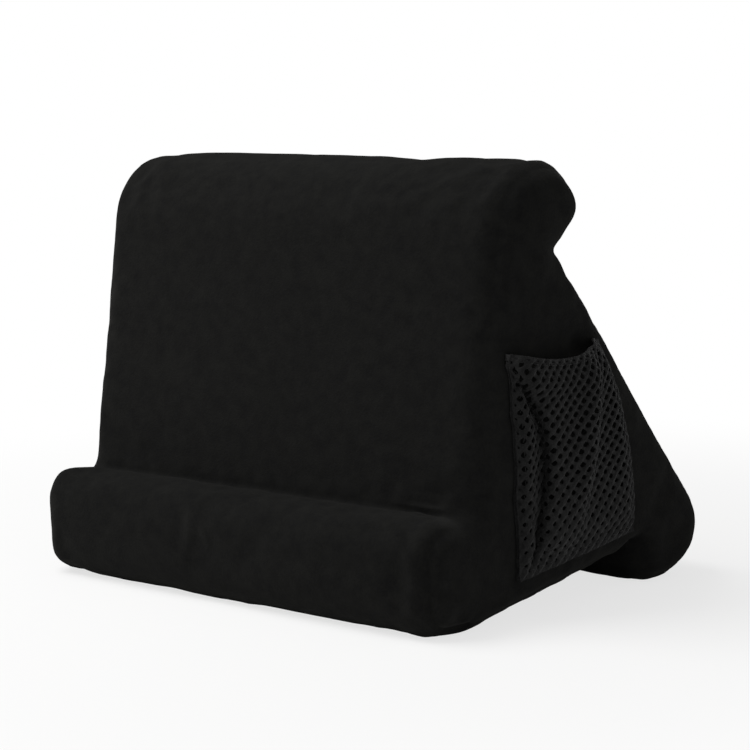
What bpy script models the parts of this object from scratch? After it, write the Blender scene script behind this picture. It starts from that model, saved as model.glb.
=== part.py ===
"""Cushion stand for a tablet: a foam block in a sewn plush cover, with a net pocket.

The cushion is one outline run from side to side. Three soft lobes stand out of the
outline: the front bolster, the top and the rear foot. Between them lie three notches,
and the one in front is the crease that a tablet stands in.
X runs across the cushion, Y from front to back and Z up, all in metres.
"""
import math

import bmesh
import bpy
from mathutils import Vector

# Overall sizes
WIDTH = 0.283
DEPTH = 0.216
HEIGHT = 0.220

# Front bolster and the crease behind it
BOLSTER_HEIGHT = 0.055
CREASE_SETBACK = 0.0335
CREASE_HEIGHT = 0.053
FACE_LEAN = math.radians(8.5)
BOLSTER_SOLE = 0.038

# Top lobe
TOP_DEPTH = 0.043
TIP_REACH = 0.026
TIP_DROP = 0.0245
BACK_NOTCH_DROP = 0.044

# Rear foot and the arch between it and the bolster
FOOT_HEIGHT = 0.037
FOOT_DEPTH = 0.0475
ARCH_HEIGHT = 0.020
ARCH_SLANT = 0.012

# Radii of the outline's corners
BOLSTER_TOP_RADIUS = 0.016
BOLSTER_LOW_RADIUS = 0.0165
SOLE_RADIUS = 0.020
TOP_FRONT_RADIUS = 0.036
TOP_BACK_RADIUS = 0.022
TIP_RADIUS = 0.014
FOOT_BACK_RADIUS = 0.025
FOOT_LOW_RADIUS = 0.0275
FOOT_FRONT_RADIUS = 0.008
NOTCH_RADIUS = 0.004
LEAST_RADIUS = 0.003

# Rounded side edges, and the seam half way round them
EDGE_DEPTH = 0.0165
EDGE_PULL = 0.016
SEAM_ANGLE = math.radians(45)
SEAM_GAP = 0.0008

# Cover cloth and what lies against it
CLOTH = 0.0016
CLEARANCE = 0.0003

# Net pocket on the right side
MOUTH_HEIGHT = 0.129
MOUTH_DIP = 0.005
POCKET_FACE_MARGIN = 0.0095
POCKET_BACK_MARGIN = 0.011
POCKET_LOW_MARGIN = 0.012
POCKET_LOW_FRONT = 0.067
POCKET_LOW_REAR = 0.153
POCKET_REAR_BOW = 0.0065
HEM = 0.0055
NET = 0.0012
NET_COLUMNS = 7
NET_ROWS = 9
STRAND = 0.0034
MOUTH_STAND = 0.0068
BELLY_STAND = 0.0075
PLEAT_DEPTH = 0.0062
PLEAT_WIDTH = 0.0075
RIDGE_HEIGHT = 0.0025
RIDGE_WIDTH = 0.0090

# Courses of the net's pleat and ridge, measured from the pocket's front edge
PLEAT_START = 0.0055
PLEAT_SWAY = 0.0127
RIDGE_START = 0.0405
RIDGE_DRIFT = 0.0315

# Flat elastic behind the pocket's top hem
ELASTIC = 0.0009
ELASTIC_MARGIN = 0.0008

# Fineness of the rounded parts
ARC_STEP = math.radians(18)
EDGE_STEPS = 6


def outline_corners():
    """The outline's corners in order, seen from the right side with the front at the left.

    The solid lies on the left of the path: along the floor, up the back, over the top,
    down the leaning face and over the bolster. Each corner is (y, z, radius).
    """
    top_front = CREASE_SETBACK + (HEIGHT - CREASE_HEIGHT) * math.tan(FACE_LEAN)
    top_back = top_front + TOP_DEPTH
    foot_front = DEPTH - FOOT_DEPTH
    return {
        "bolster_low": (0, 0, BOLSTER_LOW_RADIUS),
        "sole": (BOLSTER_SOLE, 0, SOLE_RADIUS),
        "under_notch": (foot_front - ARCH_SLANT, ARCH_HEIGHT, NOTCH_RADIUS),
        "foot_front": (foot_front, 0, FOOT_FRONT_RADIUS),
        "foot_low": (DEPTH, 0, FOOT_LOW_RADIUS),
        "foot_back": (DEPTH, FOOT_HEIGHT, FOOT_BACK_RADIUS),
        "back_notch": (top_back, HEIGHT - BACK_NOTCH_DROP, NOTCH_RADIUS),
        "tip": (top_back + TIP_REACH, HEIGHT - TIP_DROP, TIP_RADIUS),
        "top_back": (top_back, HEIGHT, TOP_BACK_RADIUS),
        "top_front": (top_front, HEIGHT, TOP_FRONT_RADIUS),
        "crease": (CREASE_SETBACK, CREASE_HEIGHT, NOTCH_RADIUS),
        "bolster_top": (0, BOLSTER_HEIGHT, BOLSTER_TOP_RADIUS),
    }


def corner_shapes():
    """Each corner as (name, point, inward normals before and after, turn, radius)."""
    corners = outline_corners()
    names = list(corners)
    points = [Vector(corners[name][:2]) for name in names]
    count = len(names)
    runs = [points[(i + 1) % count] - points[i] for i in range(count)]
    ways = [run.normalized() for run in runs]
    turns = [math.atan2(ways[i - 1].cross(ways[i]), ways[i - 1].dot(ways[i])) for i in range(count)]
    reach = [corners[names[i]][2] * math.tan(abs(turns[i]) / 2) for i in range(count)]
    # Two roundings that would meet on one side are both made smaller to fit it.
    room = [min(1, runs[i].length / (reach[i] + reach[(i + 1) % count])) for i in range(count)]
    shapes = []
    for i, name in enumerate(names):
        before = Vector((-ways[i - 1].y, ways[i - 1].x))
        after = Vector((-ways[i].y, ways[i].x))
        radius = corners[name][2] * min(room[i - 1], room[i])
        shapes.append((name, points[i], before, after, turns[i], radius))
    return shapes


def outline(pull, depth):
    """The outline pulled in at a rounded edge, at some depth under the cloth's surface.

    It has the same number of points for any pull and depth. Returns the (y, z) points,
    and the place in that list of each corner's middle point.
    """
    points = []
    middles = {}
    for name, corner, before, after, turn, radius in corner_shapes():
        inwards = (before + after) / (1 + before.dot(after))
        outer = turn > 0
        bend = max(radius - pull, LEAST_RADIUS) - depth if outer else radius + pull + depth
        side = 1 if outer else -1
        centre = corner + inwards * (pull + depth + side * bend)
        steps = 2 * max(1, round(abs(turn) / ARC_STEP / 2))
        middles[name] = len(points) + steps // 2
        for step in range(steps + 1):
            part = turn * step / steps
            normal = Vector((before.x * math.cos(part) - before.y * math.sin(part),
                             before.x * math.sin(part) + before.y * math.cos(part)))
            points.append(centre - normal * side * bend)
    return points, middles


def edge_ring(angle, side, depth):
    """The outline at one place on a rounded side edge, as 3-D points.

    The angle is 0 on the flat of the side and 90 degrees where the rounding ends.
    """
    across = WIDTH / 2 - depth - (EDGE_DEPTH - depth) * (1 - math.cos(angle))
    pull = (EDGE_PULL - depth) * (1 - math.sin(angle))
    return [Vector((side * across, point.x, point.y)) for point in outline(pull, depth)[0]]


def seam_margin():
    """Half the seam's gap, as an angle round the side edge."""
    return SEAM_GAP / (EDGE_DEPTH + EDGE_PULL)


def add_object(name, mesh, colour, roughness):
    """Put a mesh in the object's collection, with a cloth or foam material of its own."""
    material = bpy.data.materials.new(name)
    material.use_nodes = True
    shader = material.node_tree.nodes["Principled BSDF"]
    shader.inputs["Base Color"].default_value = (*colour, 1)
    shader.inputs["Roughness"].default_value = roughness
    shader.inputs["Metallic"].default_value = 0
    mesh.materials.append(material)
    mesh.shade_smooth()
    mesh.set_sharp_from_angle(angle=math.radians(40))
    piece = bpy.data.objects.new(name, mesh)
    parts.objects.link(piece)
    piece.parent = frame
    return piece


def loft(name, rings, ring_closed, capped):
    """A mesh through rings that all have the same number of points."""
    form = bmesh.new()
    rows = [[form.verts.new(point) for point in ring] for ring in rings]
    count = len(rows[0])
    for row, following in zip(rows, rows[1:]):
        for i in range(count if ring_closed else count - 1):
            after = (i + 1) % count
            form.faces.new((row[i], row[after], following[after], following[i]))
    if capped[0]:
        form.faces.new(reversed(rows[0]))
    if capped[1]:
        form.faces.new(rows[-1])
    bmesh.ops.recalc_face_normals(form, faces=form.faces)
    mesh = bpy.data.meshes.new(name)
    form.to_mesh(mesh)
    form.free()
    return mesh


def add_wall(piece, thickness, offset):
    """Give an open surface its thickness: -1 inwards, 1 outwards."""
    wall = piece.modifiers.new("wall", "SOLIDIFY")
    wall.thickness = thickness
    wall.offset = offset
    wall.use_even_offset = True


def edge_angles():
    """The places round a side edge where the outline is set, from the flat side inwards."""
    return [math.pi / 2 * step / EDGE_STEPS for step in range(EDGE_STEPS + 1)]


def make_foam_core():
    """The foam block, a little smaller all round than the inside of its cover."""
    depth = CLOTH + CLEARANCE
    angles = edge_angles()
    rings = [edge_ring(angle, -1, depth) for angle in angles]
    rings += [edge_ring(angle, 1, depth) for angle in reversed(angles)]
    mesh = loft("foam_core", rings, ring_closed=True, capped=(True, True))
    return add_object("foam_core", mesh, (0.78, 0.76, 0.68), 0.95)


def between_seams(ring, start, end):
    """The part of a ring from one seam to the next, stopping half a gap short of each."""
    count = len(ring)
    length = (end - start) % count
    part = [ring[(start + i) % count].copy() for i in range(length + 1)]
    part[0] += (part[1] - part[0]).normalized() * SEAM_GAP / 2
    part[-1] += (part[-2] - part[-1]).normalized() * SEAM_GAP / 2
    return part


def make_cover_panel(name, start, end):
    """A panel that wraps a lobe, from the seam in one notch to the seam in the next."""
    middles = outline(0, 0)[1]
    first = SEAM_ANGLE + seam_margin()
    angles = [first] + [angle for angle in edge_angles() if angle > first + seam_margin()]
    rings = [edge_ring(angle, -1, 0) for angle in angles]
    rings += [edge_ring(angle, 1, 0) for angle in reversed(angles)]
    strips = [between_seams(ring, middles[start], middles[end]) for ring in rings]
    mesh = loft(name, strips, ring_closed=False, capped=(False, False))
    face_outwards(mesh, strips)
    piece = add_object(name, mesh, (0.012, 0.012, 0.012), 0.9)
    add_wall(piece, CLOTH, -1)
    return piece


def face_outwards(mesh, strips):
    """Turn an open panel's faces so that they point away from the foam."""
    middle = mesh.polygons[len(mesh.polygons) // 2]
    row = strips[len(strips) // 2]
    along = row[len(row) // 2] - row[len(row) // 2 - 1]
    outwards = Vector((0, along.z, -along.y))
    if middle.normal.dot(outwards) < 0:
        mesh.flip_normals()


def make_side_panel(name, side):
    """A flat end panel whose edge turns round to the seam."""
    last = SEAM_ANGLE - seam_margin()
    angles = [angle for angle in edge_angles() if angle < last - seam_margin()] + [last]
    rings = [edge_ring(angle, side, 0) for angle in angles]
    mesh = loft(name, rings, ring_closed=True, capped=(True, False))
    if mesh.polygons[-1].normal.x * side < 0:
        mesh.flip_normals()
    piece = add_object(name, mesh, (0.010, 0.010, 0.010), 0.9)
    add_wall(piece, CLOTH, -1)
    return piece


def distance_to_outline(y, z):
    """How far inside the outline a point of the side lies."""
    points = outline(0, 0)[0]
    place = Vector((y, z))
    nearest = []
    for i, point in enumerate(points):
        run = points[(i + 1) % len(points)] - point
        share = min(1, max(0, (place - point).dot(run) / max(run.length_squared, 1e-12)))
        nearest.append((place - point - run * share).length)
    return min(nearest)


def side_surface(y, z):
    """X of the right side panel's outer surface, flat in the middle and rounded at its edge."""
    inside = min(distance_to_outline(y, z), EDGE_PULL)
    angle = math.asin(1 - inside / EDGE_PULL)
    return WIDTH / 2 - EDGE_DEPTH * (1 - math.cos(angle))


def pocket_corners():
    """The pocket's four corners on the side panel, as (y, z) points."""
    corners = outline_corners()
    crease, notch, foot = corners["crease"], corners["back_notch"], corners["foot_back"]
    face_y = crease[0] + (MOUTH_HEIGHT - crease[1]) * math.tan(FACE_LEAN)
    back_slope = (foot[0] - notch[0]) / (notch[1] - foot[1])
    back_y = notch[0] + (notch[1] - MOUTH_HEIGHT) * back_slope
    back_share = math.cos(math.atan(back_slope))
    arch, sole = corners["under_notch"], corners["sole"]
    rise = (arch[1] - sole[1]) / (arch[0] - sole[0])
    front_top = Vector((face_y + POCKET_FACE_MARGIN / math.cos(FACE_LEAN), MOUTH_HEIGHT))
    rear_top = Vector((back_y - POCKET_BACK_MARGIN / back_share, MOUTH_HEIGHT))
    front_low = Vector((POCKET_LOW_FRONT, (POCKET_LOW_FRONT - sole[0]) * rise + POCKET_LOW_MARGIN))
    rear_low = Vector((POCKET_LOW_REAR, (POCKET_LOW_REAR - sole[0]) * rise + POCKET_LOW_MARGIN))
    return front_low, rear_low, front_top, rear_top


def pocket_size():
    """The pocket's mean width and height, which the flat net is laid out in."""
    front_low, rear_low, front_top, rear_top = pocket_corners()
    width = ((rear_low - front_low).length + (rear_top - front_top).length) / 2
    height = ((front_top - front_low).length + (rear_top - rear_low).length) / 2
    return width, height


def hill(distance, width):
    """A smooth hump, 1 in the middle and nearly 0 a width away."""
    return math.exp(-(2 * distance / width) ** 2)


def net_stand(u, v):
    """How far the net stands off the side panel. u runs to the rear, v from the bottom up."""
    width, height = pocket_size()
    hem_u, hem_v = HEM / width, HEM / height
    inner = min(1, max(0, (u - hem_u) / (1 - 2 * hem_u)))
    rise = min(1, max(0, (v - hem_v) / (1 - hem_v)))
    across = 1 - abs(2 * inner - 1) ** 3
    belly = BELLY_STAND * (1 - (1 - rise) ** 3) * (1 - rise ** 3) + MOUTH_STAND * rise ** 3
    past_pleat = u * width - PLEAT_START - PLEAT_SWAY * math.sin(math.pi * v)
    past_ridge = u * width - RIDGE_START - RIDGE_DRIFT * v ** 1.3
    held = math.sin(math.pi * rise) ** 0.5
    pleat = PLEAT_DEPTH * hill(past_pleat, PLEAT_WIDTH) * held
    ridge = RIDGE_HEIGHT * hill(past_ridge, RIDGE_WIDTH) * held
    over_elastic = (ELASTIC + CLEARANCE) * min(1, max(0, (v - 1 + 4 * hem_v) / (2 * hem_v)))
    return max(0, across * belly - pleat) + ridge * across + over_elastic


def pocket_point(u, v, lift):
    """A point of the pocket, lift metres outside the inner face of the net."""
    front_low, rear_low, front_top, rear_top = pocket_corners()
    front = front_low.lerp(front_top, v)
    rear = rear_low.lerp(rear_top, v)
    rear.x += POCKET_REAR_BOW * 4 * v * (1 - v)
    place = front.lerp(rear, u)
    place.y -= MOUTH_DIP * 4 * u * (1 - u) * v * v
    surface = side_surface(place.x, place.y) + CLEARANCE
    return Vector((surface + net_stand(u, v) + lift, place.x, place.y))


def lattice_lines(length, cells):
    """Places of the grid lines along one side of the flat net, with a hem at each end."""
    inner = length - 2 * HEM
    return [0] + [HEM + inner * i / cells for i in range(cells + 1)] + [length]


def make_pocket_net():
    """The pocket's net: a diamond lattice with plain hems, draped with a pleat and a ridge.

    A grid of squares is poked to its centres, and the squares' sides are dissolved, which
    leaves diamonds. Each diamond is inset by half a strand and its middle taken away.
    """
    width, height = pocket_size()
    flat = bmesh.new()
    lines_u = lattice_lines(width, NET_COLUMNS)
    lines_v = lattice_lines(height, NET_ROWS)
    grid = [[flat.verts.new((u, v, 0)) for u in lines_u] for v in lines_v]
    squares = []
    for row in range(len(lines_v) - 1):
        for column in range(len(lines_u) - 1):
            lower, upper = grid[row], grid[row + 1]
            square = flat.faces.new((lower[column], lower[column + 1],
                                     upper[column + 1], upper[column]))
            if 0 < row < len(lines_v) - 2 and 0 < column < len(lines_u) - 2:
                squares.append(square)
    poked = bmesh.ops.poke(flat, faces=squares)
    centres = set(poked["verts"])
    triangles = set(poked["faces"])
    sides = [edge for edge in flat.edges
             if len(edge.link_faces) == 2 and not centres & set(edge.verts)
             and triangles.issuperset(edge.link_faces)]
    bmesh.ops.dissolve_edges(flat, edges=sides, use_verts=False)
    diamonds = [face for face in flat.faces if len(centres & set(face.verts)) == 2]
    bmesh.ops.inset_individual(flat, faces=diamonds, thickness=STRAND / 2, use_even_offset=True)
    bmesh.ops.delete(flat, geom=diamonds, context="FACES")
    for vert in flat.verts:
        vert.co = pocket_point(vert.co.x / width, vert.co.y / height, 0)
    mesh = bpy.data.meshes.new("pocket_net")
    flat.to_mesh(mesh)
    flat.free()
    if mesh.polygons[0].normal.x < 0:
        mesh.flip_normals()
    piece = add_object("pocket_net", mesh, (0.018, 0.018, 0.018), 0.75)
    add_wall(piece, NET, 1)
    return piece


def make_pocket_elastic():
    """The flat elastic that lies behind the pocket's top hem, sewn down at both ends."""
    width, height = pocket_size()
    lines = lattice_lines(width, NET_COLUMNS)
    lines[0] += ELASTIC_MARGIN
    lines[-1] -= ELASTIC_MARGIN
    hem_low = [pocket_point(line / width, 1 - HEM / height, 0) for line in lines]
    hem_high = [pocket_point(line / width, 1, 0) for line in lines]
    share = ELASTIC_MARGIN / HEM
    rows = [[low.lerp(high, part) for low, high in zip(hem_low, hem_high)]
            for part in (share, 1 - share)]
    mesh = loft("pocket_elastic", rows, ring_closed=False, capped=(False, False))
    if mesh.polygons[0].normal.x < 0:
        mesh.flip_normals()
    piece = add_object("pocket_elastic", mesh, (0.008, 0.008, 0.008), 0.6)
    add_wall(piece, ELASTIC, -1 - 2 * CLEARANCE / ELASTIC)
    return piece


for old in list(bpy.data.objects):
    bpy.data.objects.remove(old, do_unlink=True)

parts = bpy.data.collections.new("tablet_cushion_stand")
bpy.context.scene.collection.children.link(parts)
frame = bpy.data.objects.new("stand_frame", None)
parts.objects.link(frame)

make_foam_core()
make_cover_panel("face_panel", "back_notch", "crease")
make_cover_panel("bolster_panel", "crease", "under_notch")
make_cover_panel("back_panel", "under_notch", "back_notch")
make_side_panel("left_side_panel", -1)
make_side_panel("right_side_panel", 1)
net = make_pocket_net()
make_pocket_elastic()

# The origin is under the middle of the whole stand, pocket and all.
right_most = max(vert.co.x for vert in net.data.vertices) + NET
frame.location = (-(right_most - WIDTH / 2) / 2, -DEPTH / 2, 0)
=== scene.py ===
# %% [markdown]
# # A plush cushion stand with a net pocket
# The stand is one block of foam in a cover of black short-pile plush. A front bolster and
# a leaning face hold a tablet between them, and a knitted net pocket is sewn to the right
# end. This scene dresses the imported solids: it keeps their places and sizes, and makes
# the cloth, the seams, the net, the thread and the light.

import math

import bmesh
import bpy
import numpy as np
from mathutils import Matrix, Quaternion, Vector, noise
from mathutils.bvhtree import BVHTree


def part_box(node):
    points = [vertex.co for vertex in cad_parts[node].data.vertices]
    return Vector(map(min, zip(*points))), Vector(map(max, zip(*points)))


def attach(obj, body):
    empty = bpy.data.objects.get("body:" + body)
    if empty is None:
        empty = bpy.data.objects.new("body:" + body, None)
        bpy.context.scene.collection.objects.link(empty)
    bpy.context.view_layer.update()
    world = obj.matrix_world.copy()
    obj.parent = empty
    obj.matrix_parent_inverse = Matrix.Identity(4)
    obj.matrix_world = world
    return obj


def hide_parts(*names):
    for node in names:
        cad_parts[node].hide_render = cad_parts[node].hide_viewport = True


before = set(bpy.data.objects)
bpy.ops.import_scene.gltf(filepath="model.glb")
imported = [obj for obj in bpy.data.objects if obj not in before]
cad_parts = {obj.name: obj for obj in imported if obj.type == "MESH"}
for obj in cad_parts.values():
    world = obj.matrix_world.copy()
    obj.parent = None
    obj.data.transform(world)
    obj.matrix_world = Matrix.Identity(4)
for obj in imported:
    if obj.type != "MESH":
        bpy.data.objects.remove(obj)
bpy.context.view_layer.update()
MM = 0.001


def in_mm(lengths):
    """Lengths in metres as millimetres, rounded for printing."""
    return [round(length / MM, 1) for length in lengths]


print("solids:", sorted(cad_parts))

# %% [markdown]
# ## A few small helpers
# Colours are easiest to pick as sRGB hex values, as a paint program shows them. Blender's
# shaders work in linear light, so one function turns the one into the other. A material
# is a tree of nodes, and one function that adds a node with its settings and its links
# keeps each tree as short as a recipe.

# %% Colours and nodes
def linear(hex_colour):
    """A #rrggbb colour in linear light, with an alpha of 1."""
    levels = [int(hex_colour[i:i + 2], 16) / 255 for i in (1, 3, 5)]
    return [x / 12.92 if x <= 0.04045 else ((x + 0.055) / 1.055) ** 2.4 for x in levels] + [1]


def add_node(tree, kind, inputs=(), **settings):
    """Add a node. Each input is a value, or a link given as (node, output name)."""
    node = tree.nodes.new(kind)
    for name, value in settings.items():
        setattr(node, name, value)
    for name, value in dict(inputs).items():
        if isinstance(value, tuple) and isinstance(value[0], bpy.types.Node):
            tree.links.new(value[0].outputs[value[1]], node.inputs[name])
        else:
            node.inputs[name].default_value = value
    return node


def new_material(name):
    """A new material without nodes, and its tree."""
    material = bpy.data.materials.new(name)
    material.use_nodes = True
    material.node_tree.nodes.clear()
    return material, material.node_tree


def two_tone(tree, factor, dark, light, turns):
    """A colour that goes from dark to light where a factor goes through a range."""
    ramp = add_node(tree, "ShaderNodeValToRGB", {"Fac": factor})
    for stop, place, tone in zip(ramp.color_ramp.elements, turns, (dark, light)):
        stop.position = place
        stop.color = linear(tone)
    return ramp


print("sRGB #808080 in linear light:", round(linear("#808080")[0], 3))

# %% [markdown]
# ## The camera
# A camera is a place, a direction and a lens. The photograph was taken from the front
# right, a little above the stand, from more than a metre away with a long lens, so the
# stand looks nearly as it would in a drawing. The camera is set by its angles round a
# point in the stand, because angles are easy to read off and to correct.

# %% Camera
CAMERA_AZIMUTH = math.radians(43.13)
CAMERA_ELEVATION = math.radians(7.28)
CAMERA_ROLL = math.radians(-1.18)
CAMERA_DISTANCE = 1.294
CAMERA_TARGET = Vector((-0.0049, 0.0075, 0.1038))
LENS_MM = 117.9
SENSOR_MM = 36


def direction(azimuth, elevation):
    """A unit vector to a place round the stand: azimuth 0 is in front, 90 to the right."""
    flat = math.cos(elevation)
    return Vector((math.sin(azimuth) * flat, -math.cos(azimuth) * flat, math.sin(elevation)))


camera_data = bpy.data.cameras.new("camera")
camera_data.lens = LENS_MM
camera_data.sensor_width = SENSOR_MM
camera = bpy.data.objects.new("camera", camera_data)
bpy.context.scene.collection.objects.link(camera)
towards_camera = direction(CAMERA_AZIMUTH, CAMERA_ELEVATION)
camera.location = CAMERA_TARGET + towards_camera * CAMERA_DISTANCE
camera.rotation_mode = "QUATERNION"
level = (-towards_camera).to_track_quat("-Z", "Y")
camera.rotation_quaternion = level @ Quaternion((0, 0, 1), CAMERA_ROLL)
bpy.context.scene.camera = camera
bpy.context.scene.view_settings.view_transform = "Standard"
print("camera at", [round(value, 3) for value in camera.location])

# %% [markdown]
# ## Floor, backdrop and light
# A product photograph of a black thing stands on white. Here the floor is a plain pale
# sheet that keeps the stand's soft shadow, and further out it turns to plain white, as
# the world behind it is, so that no horizon shows. Only rays that the camera sees find
# that white. The light that falls on the cloth is a soft sky, one large lamp above the
# front left, and a small weak one low at the right, so that the pocket's side isn't lost in
# the dark. Their level is one at which a colour renders about as it is written.

# %% Floor and backdrop
FLOOR_SIZE = 8
WHITE_STARTS = 0.20
WHITE_WHOLE = 0.60
WHITE_NEAR = 0.72  # the share of plain white near the stand, which keeps its shadow light


def seen_directly(tree):
    """1 for what the camera, a gloss or glass shows, and 0 for the light that falls on cloth."""
    path = add_node(tree, "ShaderNodeLightPath")
    seen_or_mirrored = add_node(tree, "ShaderNodeMath", {
        0: (path, "Is Camera Ray"), 1: (path, "Is Glossy Ray"),
    }, operation="MAXIMUM")
    return add_node(tree, "ShaderNodeMath", {
        0: (seen_or_mirrored, "Value"), 1: (path, "Is Transmission Ray"),
    }, operation="MAXIMUM")


def make_floor_material():
    """Pale matt paper near the stand, plain white further away."""
    material, tree = new_material("pale_paper_floor")
    place = add_node(tree, "ShaderNodeTexCoord")
    away = add_node(tree, "ShaderNodeVectorMath", {0: (place, "Object")}, operation="LENGTH")
    far = add_node(tree, "ShaderNodeMapRange", {
        "Value": (away, "Value"), "From Min": WHITE_STARTS, "From Max": WHITE_WHOLE,
        "To Min": WHITE_NEAR,
    }, interpolation_type="SMOOTHSTEP")
    white_share = add_node(tree, "ShaderNodeMath", {
        0: (far, "Result"), 1: (seen_directly(tree), "Value"),
    }, operation="MULTIPLY")
    paper = add_node(tree, "ShaderNodeBsdfPrincipled", {
        "Base Color": linear("#fbfbfa"), "Roughness": 0.9, "Specular IOR Level": 0.1,
    })
    white = add_node(tree, "ShaderNodeEmission", {"Color": linear("#ffffff"), "Strength": 1})
    mix = add_node(tree, "ShaderNodeMixShader", {
        0: (white_share, "Value"), 1: (paper, "BSDF"), 2: (white, "Emission"),
    })
    add_node(tree, "ShaderNodeOutputMaterial", {"Surface": (mix, "Shader")})
    return material


floor_mesh = bpy.data.meshes.new("floor")
half = FLOOR_SIZE / 2
floor_mesh.from_pydata([(-half, -half, 0), (half, -half, 0), (half, half, 0), (-half, half, 0)],
                       [], [(0, 1, 2, 3)])
floor_mesh.materials.append(make_floor_material())
floor = bpy.data.objects.new("floor", floor_mesh)
bpy.context.scene.collection.objects.link(floor)
print("floor:", FLOOR_SIZE, "m wide, white from", WHITE_WHOLE, "m out")

# %% Light
SKY_LEVEL = 0.24

world = bpy.data.worlds.new("studio")
world.use_nodes = True
world.node_tree.nodes.clear()
sky = add_node(world.node_tree, "ShaderNodeBackground", {
    "Color": linear("#ffffff"), "Strength": SKY_LEVEL,
})
backdrop = add_node(world.node_tree, "ShaderNodeBackground", {
    "Color": linear("#ffffff"), "Strength": 1,
})
mix = add_node(world.node_tree, "ShaderNodeMixShader", {
    0: (seen_directly(world.node_tree), "Value"),
    1: (sky, "Background"), 2: (backdrop, "Background"),
})
add_node(world.node_tree, "ShaderNodeOutputWorld", {"Surface": (mix, "Shader")})
bpy.context.scene.world = world


def add_soft_box(name, azimuth, elevation, distance, size, power):
    """A square lamp that faces the stand. Its angles are in degrees, its sizes in metres."""
    data = bpy.data.lights.new(name, "AREA")
    data.energy = power
    data.size = size
    lamp = bpy.data.objects.new(name, data)
    bpy.context.scene.collection.objects.link(lamp)
    towards = direction(math.radians(azimuth), math.radians(elevation))
    lamp.location = CAMERA_TARGET + towards * distance
    lamp.rotation_mode = "QUATERNION"
    lamp.rotation_quaternion = (-towards).to_track_quat("-Z", "Y")
    print(name, power, "W at", [round(value, 2) for value in lamp.location])


add_soft_box("soft_box_above_front", azimuth=-42, elevation=58, distance=1.0, size=0.8,
             power=9.6)
add_soft_box("soft_box_right", azimuth=88, elevation=-7, distance=0.6, size=0.3, power=0.55)

# %% [markdown]
# ## Where the seams run
# The cover is five panels sewn edge to edge. Three seams run across the stand, one in
# each notch between two lobes, and two run round the ends. The solids of the panels stop
# at those seams, so their boxes say where each seam is, and nothing has to be measured.

# %% Seams, from the boxes of the panels
RIGHT_SEAM_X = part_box("right_side_panel")[0].x
LEFT_SEAM_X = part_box("left_side_panel")[1].x
CREASE = Vector((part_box("face_panel")[0].y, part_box("face_panel")[0].z))
BACK_NOTCH = Vector((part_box("back_panel")[0].y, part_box("back_panel")[1].z))
ARCH_HEIGHT = 20 * MM
UNDER_NOTCH = Vector((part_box("bolster_panel")[1].y, ARCH_HEIGHT))
NOTCHES = (CREASE, BACK_NOTCH, UNDER_NOTCH)
# Each notch opens along its own bisector, from its bottom out into the air.
NOTCH_OPENS = (Vector((-0.63, 0.78)), Vector((0.99, -0.12)), Vector((-0.42, -0.91)))
print("end seams at x, in mm:", in_mm((LEFT_SEAM_X, RIGHT_SEAM_X)))
print("notches at (y, z), in mm:", [in_mm(place) for place in NOTCHES])

# %% [markdown]
# ## The cushion
# A foam cushion looks soft because the foam swells its cover. The cloth bulges over the
# middle of each panel, and it is pulled in where two panels are sewn.
# The mesh could be sculpted by hand, but a short cloth simulation gives the same swelling
# by itself: the foam's solid is remeshed into even squares, its seams are pinned, and
# air pressure pushes the rest of the cloth out until it is stopped.

# %% Even squares over the foam's solid
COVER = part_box("right_side_panel")[1].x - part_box("foam_core")[1].x
SOLID_WELD = 0.01 * MM
VOXEL = 3.8 * MM


def apply_modifiers(piece):
    """Replace a piece's mesh by what its modifiers make of it."""
    graph = bpy.context.evaluated_depsgraph_get()
    made = bpy.data.meshes.new_from_object(piece.evaluated_get(graph))
    piece.modifiers.clear()
    piece.data = made


def add_piece(name, mesh):
    """Put a mesh in the scene as a new piece."""
    piece = bpy.data.objects.new(name, mesh)
    bpy.context.scene.collection.objects.link(piece)
    return piece


cushion = add_piece("plush_cushion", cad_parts["foam_core"].data.copy())
cushion.data.materials.clear()
weld = cushion.modifiers.new("weld", "WELD")
weld.merge_threshold = SOLID_WELD
squares = cushion.modifiers.new("squares", "REMESH")
squares.mode = "VOXEL"
squares.voxel_size = VOXEL
apply_modifiers(cushion)
print("cushion:", len(cushion.data.vertices), "points after the remesh")
print("the cover's face is", round(COVER / MM, 2), "mm outside the foam")

# %% Swell the cover
PIN_REACH = 3.2 * MM
SWELL_CAP = 1.2 * MM
LAST_FRAME = 20
FOLD_REACH = 5 * MM
TINY = 1e-9
# A firm cloth that grows by 2 percent, so that the air pressed in below it can bulge it.
CLOTH = {
    "quality": 6, "mass": 0.3, "tension_stiffness": 20, "compression_stiffness": 20,
    "shear_stiffness": 8, "bending_stiffness": 1.5, "use_pressure": True,
    "uniform_pressure_force": 4, "shrink_min": -0.02,
}


def points_of(piece):
    """A piece's points as an array of rows."""
    points = np.empty(len(piece.data.vertices) * 3)
    piece.data.vertices.foreach_get("co", points)
    return points.reshape(-1, 3)


def set_points(piece, points):
    """Put a piece's points where the rows of an array say."""
    piece.data.vertices.foreach_set("co", points.ravel())
    piece.data.update()


def normals_of(piece):
    """The outward direction at each point of a piece."""
    normals = np.empty(len(piece.data.vertices) * 3)
    piece.data.vertex_normals.foreach_get("vector", normals)
    return normals.reshape(-1, 3)


def end_seam_distance(points):
    """How far each point is from the nearer end seam, measured across the stand."""
    return np.minimum(abs(points[:, 0] - RIGHT_SEAM_X), abs(points[:, 0] - LEFT_SEAM_X))


def fold_distance(points, notch, opens):
    """How far each point is from a notch's fold, which runs on round the rounded ends."""
    offset = points[:, 1:] - np.array(notch)
    inside = np.clip(-offset @ np.array(opens), 0, FOLD_REACH)
    return np.linalg.norm(offset + inside[:, None] * np.array(opens), axis=1)


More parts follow.
